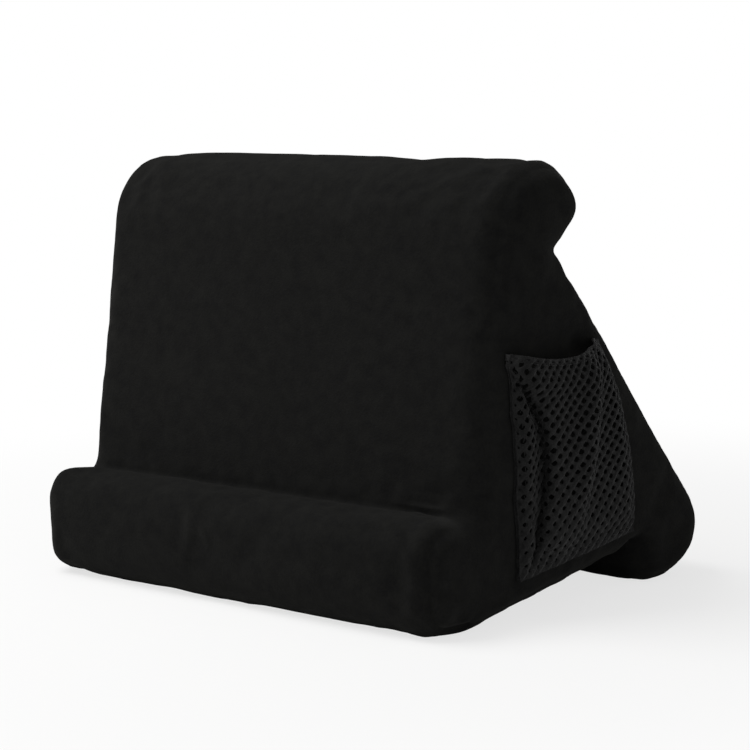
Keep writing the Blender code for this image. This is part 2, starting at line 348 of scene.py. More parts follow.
def notch_distance(points):
    """How far each point is from the nearest of the three folds."""
    folds = zip(NOTCHES, NOTCH_OPENS)
    return np.minimum.reduce([fold_distance(points, *fold) for fold in folds])


start = points_of(cushion) + normals_of(cushion) * COVER
set_points(cushion, start)
seams = cushion.vertex_groups.new(name="seams")
# The pins reach twice as far from a notch as from an end seam.
near_seam = np.minimum(end_seam_distance(start), notch_distance(start) / 2) < PIN_REACH
seams.add(np.flatnonzero(near_seam).tolist(), 1, "REPLACE")
cover = cushion.modifiers.new("cover", "CLOTH")
for setting, value in CLOTH.items():
    setattr(cover.settings, setting, value)
cover.settings.vertex_group_mass = "seams"
cover.settings.effector_weights.gravity = 0
cover.point_cache.frame_start = 1
cover.point_cache.frame_end = LAST_FRAME
for number in range(1, LAST_FRAME + 1):
    bpy.context.scene.frame_set(number)
apply_modifiers(cushion)
cushion.vertex_groups.clear()
moves = points_of(cushion) - start
lengths = np.maximum(np.linalg.norm(moves, axis=1, keepdims=True), TINY)
# The cap is soft, so that no step shows where the foam stops the cloth.
set_points(cushion, start + moves / lengths * SWELL_CAP * np.tanh(lengths / SWELL_CAP))
print("swelled by up to", round(float(lengths.max()) / MM, 1), "mm before the cap")
bpy.context.scene.frame_set(1)

# %% One subdivision, and edge loops along the seams
SEAM_LOOPS = (-2.2 * MM, -0.7 * MM, 0, 0.7 * MM, 2.2 * MM)
LOOP_SNAP = 0.001 * MM


def subdivide(piece, levels):
    """Add subdivision to a piece, the same in a render as while it is made."""
    finer = piece.modifiers.new("finer", "SUBSURF")
    finer.levels = levels
    finer.render_levels = levels


def cut_loop(form, x):
    """Add an edge loop across the stand at x, without cutting anything off."""
    everything = list(form.verts) + list(form.edges) + list(form.faces)
    bmesh.ops.bisect_plane(form, geom=everything, plane_co=(x, 0, 0), plane_no=(1, 0, 0),
                           dist=LOOP_SNAP)


subdivide(cushion, 1)
apply_modifiers(cushion)
form = bmesh.new()
form.from_mesh(cushion.data)
for seam_x in (RIGHT_SEAM_X, LEFT_SEAM_X):
    for step in SEAM_LOOPS:
        cut_loop(form, seam_x + step)
form.to_mesh(cushion.data)
form.free()
print("cushion:", len(cushion.data.vertices), "points,", len(cushion.data.polygons), "faces")

# %% [markdown]
# ## Seams, puckers and the hand of the cloth
# A seam in plush is not a line of thread: the thread is inside, and what shows is a
# narrow valley where both cloths turn in. Beside it the cloth is a little gathered, and
# away from it the foam and the nap leave the surface slightly uneven. A bump map could
# draw all of this, but it would leave the outline smooth. So these are small moves of the
# points along their normals, added up in one lift and made once at the end.

# %% Seams and puckers
SEAM_DEPTH = 0.35 * MM
BOLSTER_SEAM_DEPTH = 1.7 * MM
SEAM_WIDTH = 1.5 * MM
BOLSTER_TOP = 60 * MM
NOTCH_DEPTH = 6.0 * MM
NOTCH_WIDTH = 3.4 * MM
NOTCH_BULGE = 2.2 * MM
BULGE_WIDTH = 10 * MM
CREASE_CLOSES = 14 * MM
PUCKER_HEIGHT = 0.35 * MM
PUCKER_LENGTH = 11 * MM
PUCKER_REACH = 8 * MM
NOTCH_PUCKER_REACH = 16 * MM
UNEVEN_HEIGHT = 0.45 * MM
UNEVEN_LENGTH = 55 * MM
LUMP_HEIGHT = 0.12 * MM
LUMP_LENGTH = 12 * MM
LONG = 1000  # a wavelength in metres, so that waves don't change along that axis


def waves(points, lengths, seed):
    """Smooth noise from -1 to 1 at each point, of one wavelength along each axis."""
    scaled = points / np.array(lengths) + seed
    return np.array([noise.noise(Vector(row)) for row in scaled])


def fade(distance, reach):
    """1 at a seam, about a third a reach away from it, and nearly 0 at two reaches."""
    return np.exp(-(distance / reach) ** 2)


def ease(shares):
    """A smooth step for a whole array: 0 below 0, and 1 above 1."""
    shares = np.clip(shares, 0, 1)
    return shares * shares * (3 - 2 * shares)


points = points_of(cushion)
normals = normals_of(cushion)
ends = end_seam_distance(points)
notches = notch_distance(points)
lift = UNEVEN_HEIGHT * waves(points, [UNEVEN_LENGTH] * 3, seed=3.1)
lift += LUMP_HEIGHT * waves(points, [LUMP_LENGTH] * 3, seed=8.7)
end_puckers = waves(points, [LONG, PUCKER_LENGTH, PUCKER_LENGTH], seed=1.7)
lift += PUCKER_HEIGHT * end_puckers * fade(ends, PUCKER_REACH)
notch_puckers = waves(points, [PUCKER_LENGTH, LONG, LONG], seed=5.3)
lift += PUCKER_HEIGHT * notch_puckers * fade(notches, NOTCH_PUCKER_REACH)
# The bolster is the tightest roll, so its end seams are the deepest.
on_bolster = (points[:, 1] < CREASE.x) & (points[:, 2] < BOLSTER_TOP)
lift -= np.where(on_bolster, BOLSTER_SEAM_DEPTH, SEAM_DEPTH) * fade(ends, SEAM_WIDTH)
# The crease closes towards the ends, where the end panels bridge it.
from_middle = abs(points[:, 0] - (RIGHT_SEAM_X + LEFT_SEAM_X) / 2)
half_length = (RIGHT_SEAM_X - LEFT_SEAM_X) / 2
crease = fold_distance(points, CREASE, NOTCH_OPENS[0])
bridged = ease((from_middle - half_length + CREASE_CLOSES) / CREASE_CLOSES)
open_share = np.where(crease <= notches + TINY, 1 - bridged, 1)
# The cloth bulges a little on both sides of each notch, and dives in at its bottom.
lift += NOTCH_BULGE * (fade(notches, BULGE_WIDTH) - fade(notches, BULGE_WIDTH / 2)) * open_share
lift -= NOTCH_DEPTH * fade(notches, NOTCH_WIDTH) * open_share
print("seams, notches and puckers, in mm:", in_mm((SEAM_DEPTH, NOTCH_DEPTH, PUCKER_LENGTH)))

# %% Tucks, wrinkles and the hollow over the pocket
# Where the crease turns round the right end, the cloth of the face and of the bolster is
# bunched into a few level tucks. The bolster's end has soft wrinkles from its rounding.
# The pocket's elastic pulls the end panel in along its mouth, most at the rear corner.
# Each hollow is its depth, its place (y, z) and its reach along y and z, in millimetres.
TUCK_HEIGHT = 1.4 * MM
TUCK_LENGTH = 5.2 * MM
TUCK_MIDDLE_X = 110 * MM
TUCK_HALF_WIDTH = 18 * MM
TUCK_REACH = 9 * MM
TUCK_SLANT = 25  # radians that a tuck's wave turns by in a metre along the crease
WRINKLE_HEIGHT = 0.9 * MM
WRINKLE_LENGTH = 9 * MM
WRINKLE_STRETCH = 1.6  # how much longer the wrinkles are upwards than across
BOLSTER_END = Vector((-88, 30)) * MM
BOLSTER_END_REACH = 26 * MM
BOLSTER_TOP_END = Vector((-94, 54)) * MM
TOP_END_LIFT = 3 * MM
TOP_END_REACH = 13 * MM
HOLLOWS = ((6, 8, 130, 13, 9), (4, -16, 132, 26, 8))


def section_distance(points, place):
    """How far each point is from a place (y, z), as seen from the end of the stand."""
    return np.hypot(points[:, 1] - place.x, points[:, 2] - place.y)


tucks = np.sin(2 * math.pi * crease / TUCK_LENGTH + TUCK_SLANT * (points[:, 0] - TUCK_MIDDLE_X))
lift += (TUCK_HEIGHT * tucks * fade(crease, TUCK_REACH)
         * fade(points[:, 0] - TUCK_MIDDLE_X, TUCK_HALF_WIDTH))
on_the_end = np.clip(normals[:, 0], 0, 1)
end_place = section_distance(points, BOLSTER_END)
wrinkles = waves(points, [LONG, WRINKLE_LENGTH, WRINKLE_STRETCH * WRINKLE_LENGTH], seed=6.1)
lift += WRINKLE_HEIGHT * wrinkles * fade(end_place, BOLSTER_END_REACH) * on_the_end
top_end = section_distance(points, BOLSTER_TOP_END)
lift += TOP_END_LIFT * fade(top_end, TOP_END_REACH) * fade(ends, TOP_END_REACH)
for depth, y, z, reach_y, reach_z in HOLLOWS:
    hollow = fade(points[:, 1] / MM - y, reach_y) * fade(points[:, 2] / MM - z, reach_z)
    lift -= depth * MM * hollow * on_the_end
print("tucks, wrinkles and the deeper hollow, in mm:",
      in_mm((TUCK_HEIGHT, WRINKLE_HEIGHT, HOLLOWS[0][0] * MM)))

# %% Crowns, and taut cloth at the ends of the notches
# The foam crowns the cover in the middle of the bolster and of the back. Where a notch runs
# out at an end seam, the cloth is drawn tight over its end, so no sharp fold goes past it.
BOLSTER_CROWN = 1.5 * MM
BOLSTER_LOW_EDGE = Vector((-101, 8)) * MM
BOLSTER_CROWN_REACH = 18 * MM
BACK_CROWN = 2.2 * MM
BACK_CROWN_HEIGHT = 140 * MM
BACK_CROWN_REACH = 32 * MM
PAST_SEAM = 8 * MM
DRAWN_REACHES = (14 * MM, 9 * MM, 9 * MM)
DRAWN_SHARE = 0.8
DRAWN_ROUNDS = 70


def drawn_taut(piece, points, share, rounds):
    """Let points drift towards the middle of their neighbours, as taut cloth does."""
    ends_of_edges = np.empty(len(piece.data.edges) * 2, dtype=np.int64)
    piece.data.edges.foreach_get("vertices", ends_of_edges)
    near, far = ends_of_edges.reshape(-1, 2).T
    neighbours = np.bincount(ends_of_edges, minlength=len(points))[:, None]
    for _ in range(rounds):
        total = np.stack([np.bincount(near, points[far, axis], len(points))
                          + np.bincount(far, points[near, axis], len(points))
                          for axis in range(3)], axis=1)
        points = points + share[:, None] * (total / neighbours - points)
    return points


low_edge = section_distance(points, BOLSTER_LOW_EDGE)
middle = np.clip(1 - (points[:, 0] / RIGHT_SEAM_X) ** 2, 0, 1)
lift += BOLSTER_CROWN * fade(low_edge, BOLSTER_CROWN_REACH) * middle
back_crown = fade(points[:, 2] - BACK_CROWN_HEIGHT, BACK_CROWN_REACH)
lift += BACK_CROWN * back_crown * np.clip(normals[:, 1], 0, 1)
points += normals * lift[:, None]
for notch, reach in zip(NOTCHES, DRAWN_REACHES):
    for mirror, seam_x in ((1, RIGHT_SEAM_X), (-1, LEFT_SEAM_X)):
        notch_end = np.array([seam_x + mirror * PAST_SEAM, notch.x, notch.y])
        near_end = fade(np.linalg.norm(points - notch_end, axis=1), reach)
        points = drawn_taut(cushion, points, DRAWN_SHARE * near_end, DRAWN_ROUNDS)
# The stand rests on the floor, so nothing goes below it.
points[:, 2] = np.maximum(points[:, 2], 0)
set_points(cushion, points)
cushion.data.shade_smooth()
cushion_faces = [tuple(face.vertices) for face in cushion.data.polygons]
cushion_surface = BVHTree.FromPolygons([Vector(row) for row in points_of(cushion)],
                                       cushion_faces)
print("lift from", round(float(lift.min()) / MM, 1), "to", round(float(lift.max()) / MM, 1), "mm")

# %% [markdown]
# ## Plush
# The cover is polyester plush: a knitted ground with a dense cut pile about a millimetre
# long. Pile scatters light in all directions, so it has no gloss, and its upright fibres
# catch light at a grazing angle, which the sheen gives. Brushed one way or the other, the
# nap is a little lighter or darker in patches of a centimetre or so. Hair could show each
# fibre, but from here a fibre is finer than a pixel, so a fine bump stands for the tufts.

# %% Plush
PLUSH_DARK = "#161616"
PLUSH_LIGHT = "#1d1d1c"
NAP_PATCH_MM = 7
PILE_TUFT_MM = 1.3  # real tufts are about 0.5 mm apart, too fine to show in the picture
PILE_BUMP_MM = 0.25
TUFT_SHARE = 0.4
PLUSH_TURNS = (0.36, 0.64)


def per_metre(size_mm):
    """The scale of a texture whose pattern is to be this many millimetres wide."""
    return 1000 / size_mm


def make_plush():
    """Black cut-pile plush: no gloss, light where it is seen edge on, and a mottled nap."""
    material, tree = new_material("cut_pile_plush")
    place = add_node(tree, "ShaderNodeTexCoord")
    nap = add_node(tree, "ShaderNodeTexNoise", {
        "Vector": (place, "Object"), "Scale": per_metre(NAP_PATCH_MM), "Detail": 3,
        "Roughness": 0.6,
    })
    tufts = add_node(tree, "ShaderNodeTexNoise", {
        "Vector": (place, "Object"), "Scale": per_metre(PILE_TUFT_MM), "Detail": 2,
        "Roughness": 0.7,
    })
    both = add_node(tree, "ShaderNodeMix", {
        "Factor": TUFT_SHARE, "A": (nap, "Fac"), "B": (tufts, "Fac"),
    }, data_type="FLOAT")
    colour = two_tone(tree, (both, "Result"), PLUSH_DARK, PLUSH_LIGHT, PLUSH_TURNS)
    pile = add_node(tree, "ShaderNodeBump", {
        "Height": (tufts, "Fac"), "Strength": 1, "Distance": PILE_BUMP_MM * MM,
    })
    shader = add_node(tree, "ShaderNodeBsdfPrincipled", {
        "Base Color": (colour, "Color"), "Roughness": 1, "Specular IOR Level": 0,
        "Sheen Weight": 0.06, "Sheen Roughness": 0.5, "Sheen Tint": linear("#c8c8c4"),
        "Normal": (pile, "Normal"),
    })
    add_node(tree, "ShaderNodeOutputMaterial", {"Surface": (shader, "BSDF")})
    return material


cushion.data.materials.append(make_plush())
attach(cushion, "root")
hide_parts("foam_core", "face_panel", "bolster_panel", "back_panel",
            "left_side_panel", "right_side_panel")
print("plush on", cushion.name)

# %% [markdown]
# ## The net pocket
# The pocket is knitted net: thick soft strands round rows of lozenge holes, each row set
# half a hole beside the last. Its edges are turned under and sewn down, its mouth is
# gathered on an elastic, and the spare cloth falls in one soft ridge and one deep pleat,
# over which the belly's cloth leans forward as a fold. A picture of holes could be laid on
# a smooth bag, but real holes show the plush behind them. So a flat sheet with its holes is
# made first and draped afterwards, as the real one is, and the holes bend with the cloth.

# %% Where the pocket lies
PANEL_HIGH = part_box("right_side_panel")[1]
NET_THICK = 0.7 * MM
CLEARANCE = 0.3 * MM
SIDE_HEM = 3.6 * MM
# The corners on the side panel as (y, z): low ones first, front before rear.
FRONT_LOW = Vector((-48.0, 21.0)) * MM
REAR_LOW = Vector((40.5, 32.0)) * MM
FRONT_TOP = Vector((-52.5, 130.5)) * MM
REAR_TOP = Vector((16.5, 129.5)) * MM
REAR_BOW = 7 * MM
MOUTH_DIP = 4.5 * MM
REAR_RISE = 1.8 * MM
WELL_OUTSIDE = 50 * MM

pocket_width = ((REAR_LOW - FRONT_LOW).length + (REAR_TOP - FRONT_TOP).length) / 2
pocket_height = ((FRONT_TOP - FRONT_LOW).length + (REAR_TOP - REAR_LOW).length) / 2


def side_x(y, z):
    """X of the cushion's right end at a place."""
    outside = Vector((PANEL_HIGH.x + WELL_OUTSIDE, y, z))
    return cushion_surface.ray_cast(outside, Vector((-1, 0, 0)))[0].x


def pocket_place(u, v):
    """Where a point of the pocket lies on the side panel: u runs to the rear, v upwards."""
    front = FRONT_LOW.lerp(FRONT_TOP, v)
    rear = REAR_LOW.lerp(REAR_TOP, v)
    rear.x += REAR_BOW * 4 * v * (1 - v)
    place = front.lerp(rear, u)
    # The mouth dips in its middle and rises at its rear corner. Both fade downwards.
    place.y += (REAR_RISE * u ** 4 - MOUTH_DIP * 4 * u * (1 - u)) * v * v
    return place


print("pocket's width and height, in mm:", in_mm((pocket_width, pocket_height)))

# %% How the net stands off the cushion
# Places across the pocket and up it are shares of its width and its height.
BELLY_STAND = 7.2 * MM
MOUTH_STAND = 9 * MM
FRONT_STAND = 5.4 * MM
FRONT_RISE = 4.5 * MM
BELLY_RISE = 8 * MM
REAR_FALL = 9 * MM
LOW_RISE = 17 * MM
PLEAT_DEPTH = 7.0 * MM
PLEAT_BEFORE = 5.0 * MM
PLEAT_SPREAD = 20.0 * MM
PLEAT_PAST = 4.0 * MM
LIP_PLACE = 4 * MM
LIP_LEAN = 8 * MM
LIP_WIDTH = 7.5 * MM
# The pleat starts at the pocket's foot, slants forward, bows to the rear and turns forward
# again at the mouth. The ridge slants to the rear.
PLEAT_FOOT = 0.095
PLEAT_SLANT = 0.04
PLEAT_BOW = 0.205
PLEAT_BOW_RISES = 1.25
PLEAT_TURN = 0.18
PLEAT_TURN_POWER = 6
TUCKED_DEPTH = 2.2 * MM
TUCKED_AWAY = 4.6 * MM
TUCKED_FROM, TUCKED_RISE = 0.55, 0.2
TUCKED_TO, TUCKED_FADE = 0.97, 0.1
RIDGE_HEIGHT = 3.0 * MM
RIDGE_BEFORE = 18 * MM
RIDGE_PAST = 13 * MM
RIDGE_FOOT = 0.31
RIDGE_SLANT = 0.43
RIDGE_STARTS = 0.12
RIDGE_WHOLE = 0.42
REAR_DROP = 3.4 * MM
HELD_AT_FOOT = 0.03
HELD_POWER = 0.4
MOUTH_POWER = 4
SLACK_HEIGHT = 0.6 * MM
SLACK_LENGTH = 24 * MM
ELASTIC_ROOM = 0.8 * MM
TOP_HEM = 3.2 * MM


def smooth(share):
    """The same smooth step as ease, for one number."""
    share = min(1, max(0, share))
    return share * share * (3 - 2 * share)


def hill(distance, width):
    """A smooth hump, 1 in the middle and nearly 0 a width away."""
    return math.exp(-(2 * distance / width) ** 2)


def pleat_distance(u, v):
    """How far to the rear of the pleat's bottom a place is. The pleat bows to the rear."""
    bow = PLEAT_BOW * math.sin(math.pi * v ** PLEAT_BOW_RISES)
    course = PLEAT_FOOT - PLEAT_SLANT * v + bow - PLEAT_TURN * v ** PLEAT_TURN_POWER
    return (u - course) * pocket_width


def lip_lean(u, v):
    """How far the belly's cloth leans forward over the pleat."""
    lip = hill(pleat_distance(u, v) - LIP_PLACE, LIP_WIDTH)
    return LIP_LEAN * lip * max(0, math.sin(math.pi * v))


def net_stand(u, v):
    """How far the net stands off the cushion. u runs to the rear, v from the bottom up."""
    from_front, from_rear = u * pocket_width, (1 - u) * pocket_width
    past_pleat = pleat_distance(u, v)
    past_ridge = (u - RIDGE_FOOT - RIDGE_SLANT * v) * pocket_width
    # The hem and the elastic hold the cloth flat, so the pleat and the ridge end there.
    held = math.sin(math.pi * min(1, HELD_AT_FOOT + (1 - HELD_AT_FOOT) * v)) ** HELD_POWER
    # A low strip in front of the pleat, then the belly, which drops a little past the ridge.
    belly = BELLY_STAND + (MOUTH_STAND - BELLY_STAND) * v ** MOUTH_POWER
    belly -= REAR_DROP * smooth(past_ridge / RIDGE_PAST) * held
    stand = FRONT_STAND + (belly - FRONT_STAND) * smooth(past_pleat / BELLY_RISE)
    sides = smooth(from_front / FRONT_RISE) * smooth(from_rear / REAR_FALL)
    low = smooth(v * pocket_height / LOW_RISE)
    stand *= sides * low
    # The pleat falls slowly from the strip and rises steeply to the belly.
    before = PLEAT_BEFORE + PLEAT_SPREAD * math.sin(math.pi * v) ** 2
    pleat = PLEAT_DEPTH * hill(past_pleat, before if past_pleat < 0 else PLEAT_PAST)
    # Near its top a second, shallower pleat is tucked in beside it.
    tucked = TUCKED_DEPTH * hill(past_pleat + TUCKED_AWAY, PLEAT_PAST)
    tucked *= smooth((v - TUCKED_FROM) / TUCKED_RISE) * smooth((TUCKED_TO - v) / TUCKED_FADE)
    ridge = hill(past_ridge, RIDGE_BEFORE if past_ridge < 0 else RIDGE_PAST)
    ridge *= RIDGE_HEIGHT * held * sides
    ridge *= smooth((v - RIDGE_STARTS) / (RIDGE_WHOLE - RIDGE_STARTS))
    spot = Vector((from_front, v * pocket_height, 0)) / SLACK_LENGTH
    slack = SLACK_HEIGHT * noise.noise(spot) * sides * low
    room = ELASTIC_ROOM * smooth((v * pocket_height - pocket_height + 2 * TOP_HEM) / TOP_HEM)
    return max(0, stand - (pleat + tucked) * held) + ridge + max(slack, -stand / 4) + room


# The cloth isn't stretched over the pleat and the ridge, so a hole's place across the
# pocket is found by the length of cloth from the front edge, and not by the bare width.
LENGTH_STEPS = 160
ROW_STEPS = 60


def cloth_lengths(v):
    """The length of cloth from the front edge to each of many steps across one row."""
    steps = np.linspace(0, 1, LENGTH_STEPS + 1)
    stands = np.array([net_stand(u, v) for u in steps])
    places = steps * pocket_width - np.array([lip_lean(u, v) for u in steps])
    runs = np.hypot(np.diff(places), np.diff(stands))
    return np.concatenate([[0], np.cumsum(runs)])


row_lengths = [cloth_lengths(row / ROW_STEPS) for row in range(ROW_STEPS + 1)]
cloth_width = float(np.mean([lengths[-1] for lengths in row_lengths]))


def across_cloth(share, v):
    """The place u across the pocket that lies at a share of the row's length of cloth."""
    lengths = row_lengths[round(min(1, max(0, v)) * ROW_STEPS)]
    return float(np.interp(share * lengths[-1], lengths, np.linspace(0, 1, LENGTH_STEPS + 1)))


def pocket_point(share, v, lift):
    """A point of the draped cloth, lift metres outside its inner face."""
    u = across_cloth(share, v)
    place = pocket_place(u, v)
    place.x -= lip_lean(u, v)
    surface = side_x(place.x, place.y) + CLEARANCE
    return Vector((surface + net_stand(u, v) + lift, place.x, place.y))


print("cloth across the pocket:", round(cloth_width / MM, 1), "mm")

# %% Knit the net flat, then drape it
HOLE_PITCH = 6.3 * MM
ROW_PITCH = 6.6 * MM
STRAND = 1.65 * MM
LOW_STRAND = 2.7 * MM
PLAIN_CORNER = 12 * MM
LOW_STRAND_REACH = 70 * MM
STRIP_STRAND = 0.3 * MM
STRIP_WIDTH = 24 * MM
FOLD = 0.45 * MM
NET_LIFT = 0.9 * MM
INNER_LIFT = 0.1 * MM
ROPE_LIFT = 1.3 * MM
KNIT_JITTER = 0.35 * MM
JITTERS_PER_ROW = 1.7
KNIT_SEED = 1


def count_cells(length, pitch):
    """How many cells of about a pitch fit between the two folded edges."""
    return round((length - 2 * FOLD) / pitch)


def lattice_lines(length, pitch):
    """Places of the grid lines along one side of the flat net, its edges included."""
    cells = count_cells(length, pitch)
    return [0] + [FOLD + (length - 2 * FOLD) * i / cells for i in range(cells + 1)] + [length]


def knit_flat():
    """A flat sheet of squares turned into lozenges, each with a hole in its middle."""
    flat = bmesh.new()
    lines_u = lattice_lines(cloth_width, HOLE_PITCH)
    lines_v = lattice_lines(pocket_height, ROW_PITCH)
    grid = [[flat.verts.new((u, v, 0)) for u in lines_u] for v in lines_v]
    squares = []
    for row in range(len(lines_v) - 1):
        for column in range(len(lines_u) - 1):
            lower, upper = grid[row], grid[row + 1]
            square = flat.faces.new((lower[column], lower[column + 1],
                                     upper[column + 1], upper[column]))
            if 0 < row < len(lines_v) - 2 and 0 < column < len(lines_u) - 2:
                squares.append(square)
    poked = bmesh.ops.poke(flat, faces=squares)
    centres = set(poked["verts"])
    triangles = set(poked["faces"])
    sides = [edge for edge in flat.edges
             if len(edge.link_faces) == 2 and not centres & set(edge.verts)
             and triangles.issuperset(edge.link_faces)]
    bmesh.ops.dissolve_edges(flat, edges=sides, use_verts=False)
    lozenges = [face for face in flat.faces if centres & set(face.verts)]
    holes = []
    for lozenge in lozenges:
        place = lozenge.calc_center_median()
        # The rear corner of the mouth is folded over and sewn, so its holes are closed.
        if cloth_width - place.x + pocket_height - place.y < PLAIN_CORNER:
            continue
        # The knit is closer near the bottom, where it isn't stretched by what it holds.
        strand = LOW_STRAND + (STRAND - LOW_STRAND) * smooth(place.y / LOW_STRAND_REACH)
        # It is closer in the strip before the pleat too, where nothing pulls it across, and
        # this fades out between one strip's width and two.
        strand += STRIP_STRAND * smooth(2 - place.x / STRIP_WIDTH)
        bmesh.ops.inset_individual(flat, faces=[lozenge], thickness=strand / 2,
                                   use_even_offset=True)
        holes.append(lozenge)
    bmesh.ops.delete(flat, geom=holes, context="FACES")
    print("net:", len(holes), "holes")
    return flat


def edge_lift(u, v):
    """The net lies on its turned-under hems at the edges, and nearer the plush between them."""
    from_edge = min(u, cloth_width - u, v)
    return NET_LIFT - (NET_LIFT - INNER_LIFT) * smooth((from_edge - SIDE_HEM) / SIDE_HEM)


def rope_lift(u, v):
    """The strands that rise to the rear lie over the others, as in the real knit."""
    cell_u = (cloth_width - 2 * FOLD) / count_cells(cloth_width, HOLE_PITCH)
    cell_v = (pocket_height - 2 * FOLD) / count_cells(pocket_height, ROW_PITCH)
    turns = (u - FOLD) / cell_u - (v - FOLD) / cell_v
    return ROPE_LIFT * (1 + math.cos(2 * math.pi * turns)) / 2


def net_lift(u, v):
    """The lift of the net's inner face over the layers behind it."""
    return edge_lift(u, v) + rope_lift(u, v)


def add_draped(flat, name, lift):
    """Lay a flat sheet over the pocket, at a lift that depends on the place."""
    for vert in flat.verts:
        above = lift(vert.co.x, vert.co.y)
        vert.co = pocket_point(vert.co.x / cloth_width, vert.co.y / pocket_height, above)
    bmesh.ops.recalc_face_normals(flat, faces=flat.faces)
    mesh = bpy.data.meshes.new(name)
    flat.to_mesh(mesh)
    flat.free()
    piece = add_piece(name, mesh)
    if sum(face.normal.x for face in mesh.polygons) < 0:
        mesh.flip_normals()
    return piece


def thicken(piece, thickness, levels):
    """Give a sheet its thickness outwards, and round it."""
    thick = piece.modifiers.new("thick", "SOLIDIFY")
    thick.thickness = thickness
    thick.offset = 1
    if levels:
        subdivide(piece, levels)
    apply_modifiers(piece)
    piece.data.shade_smooth()


def jitter(flat):
    """Shift the points between the hems a little: no two stitches of a knit are alike."""
    noise.seed_set(KNIT_SEED)  # without a seed, noise_vector differs from run to run
    for vert in flat.verts:
        between_sides = SIDE_HEM < vert.co.x < cloth_width - SIDE_HEM
        if between_sides and SIDE_HEM < vert.co.y < pocket_height - TOP_HEM:
            vert.co += noise.noise_vector(vert.co / ROW_PITCH * JITTERS_PER_ROW) * KNIT_JITTER
            vert.co.z = 0


flat_net = knit_flat()
jitter(flat_net)
bmesh.ops.subdivide_edges(flat_net, edges=list(flat_net.edges), cuts=1, use_grid_fill=True)
net = add_draped(flat_net, "net_pocket", net_lift)
thicken(net, NET_THICK, 1)
print("net:", len(net.data.polygons), "faces")

# %% Turned-under hems and the elastic
HEM_STEP = 2.0 * MM
HEM_THICK = 0.6 * MM
SIDE_HEM_THICK = 0.4 * MM
ELASTIC_THICK = 0.6 * MM
LAYER_GAP = 0.1 * MM
STRIP_WELD = 0.05 * MM


def strip_lines(start, end):
    """Places of the grid lines from one edge of a strip to the other."""
    count = max(2, round((end - start) / HEM_STEP))
    return [start + (end - start) * i / count for i in range(count + 1)]


def add_strip(flat, from_u, to_u, from_v, to_v):
    """Add a rectangle of fine squares to a flat sheet."""
    lines_u = strip_lines(from_u, to_u)
    lines_v = strip_lines(from_v, to_v)
    grid = [[flat.verts.new((u, v, 0)) for u in lines_u] for v in lines_v]
    for lower, upper in zip(grid, grid[1:]):
        for column in range(len(lines_u) - 1):
            flat.faces.new((lower[column], lower[column + 1], upper[column + 1], upper[column]))


inset = FOLD / 2
hem_top = pocket_height - TOP_HEM - inset
flat_hem = bmesh.new()
add_strip(flat_hem, inset, SIDE_HEM, inset, hem_top)
add_strip(flat_hem, SIDE_HEM, cloth_width - SIDE_HEM, inset, SIDE_HEM)
add_strip(flat_hem, cloth_width - SIDE_HEM, cloth_width - inset, inset, hem_top)
bmesh.ops.remove_doubles(flat_hem, verts=flat_hem.verts, dist=STRIP_WELD)
hem = add_draped(flat_hem, "net_hem", lambda u, v: 0)
thicken(hem, SIDE_HEM_THICK, 0)

# At the mouth the order from the inside is the turned-under net, the elastic, then the net.
flat_top_hem = bmesh.new()
add_strip(flat_top_hem, inset, cloth_width - inset, hem_top + inset, pocket_height - inset)
top_hem = add_draped(flat_top_hem, "net_top_hem", lambda u, v: -ELASTIC_ROOM)
thicken(top_hem, HEM_THICK, 0)
flat_elastic = bmesh.new()
add_strip(flat_elastic, inset, cloth_width - inset, hem_top + inset, pocket_height - inset)
over_hem = HEM_THICK + LAYER_GAP - ELASTIC_ROOM
elastic = add_draped(flat_elastic, "flat_elastic", lambda u, v: over_hem)
thicken(elastic, ELASTIC_THICK, 0)
print("hems:", len(hem.data.polygons) + len(top_hem.data.polygons), "faces")

# %% Stitches and bar tacks
THREAD = 0.32 * MM
STITCH = 2.6 * MM
STITCH_GAP = 0.7 * MM
STITCH_RINGS = 4
STITCH_SIDES = 6
TACK_STITCHES = 7
TACK_LENGTH = 3.4 * MM
TACK_STEP = 0.55 * MM
ROW_FROM_EDGE = 3.6 * MM
THREAD_SUNK = 0.4  # how far a stitch's ends lie inside the cloth, in thread thicknesses
THREAD_END = 0.6  # the thickness at a stitch's ends, as a share of that in its middle


def add_stitch(form, start, end):
    """A short length of thread that comes up out of the cloth and dives back in."""
    outwards = Vector((1, 0, 0))
    side = (end - start).cross(outwards).normalized()
    rings = []
    for step in range(STITCH_RINGS + 1):
        arch = math.sin(math.pi * step / STITCH_RINGS)
        height = THREAD * (arch - THREAD_SUNK)
        centre = start.lerp(end, step / STITCH_RINGS) + outwards * height
        radius = THREAD / 2 * (THREAD_END + (1 - THREAD_END) * arch)
        angles = [2 * math.pi * i / STITCH_SIDES for i in range(STITCH_SIDES)]
        rings.append([form.verts.new(centre + radius * (side * math.cos(angle)
                                                        + outwards * math.sin(angle)))
                      for angle in angles])
    for near, far in zip(rings, rings[1:]):
        for i in range(STITCH_SIDES):
            after = (i + 1) % STITCH_SIDES
            form.faces.new((near[i], near[after], far[after], far[i]))
    form.faces.new(reversed(rings[0]))
    form.faces.new(rings[-1])


def on_net(u, v):
    """A point on the net's outer face, from lengths along the flat cloth."""
    return pocket_point(u / cloth_width, v / pocket_height, net_lift(u, v) + NET_THICK)


def add_stitch_row(form, start, end):
    """Stitches end to end along a straight line on the flat cloth."""
    run = end - start
    count = int(run.length // (STITCH + STITCH_GAP))
    for i in range(count):
        first = start + run * (i / count)
        last = first + run.normalized() * STITCH
        add_stitch(form, on_net(*first), on_net(*last))


def add_bar_tack(form, corner):
    """A ladder of short stitches side by side, which holds a corner of the mouth."""
    for i in range(TACK_STITCHES):
        low = corner + Vector((i * TACK_STEP, 0))
        add_stitch(form, on_net(*low), on_net(*(low + Vector((0, TACK_LENGTH)))))


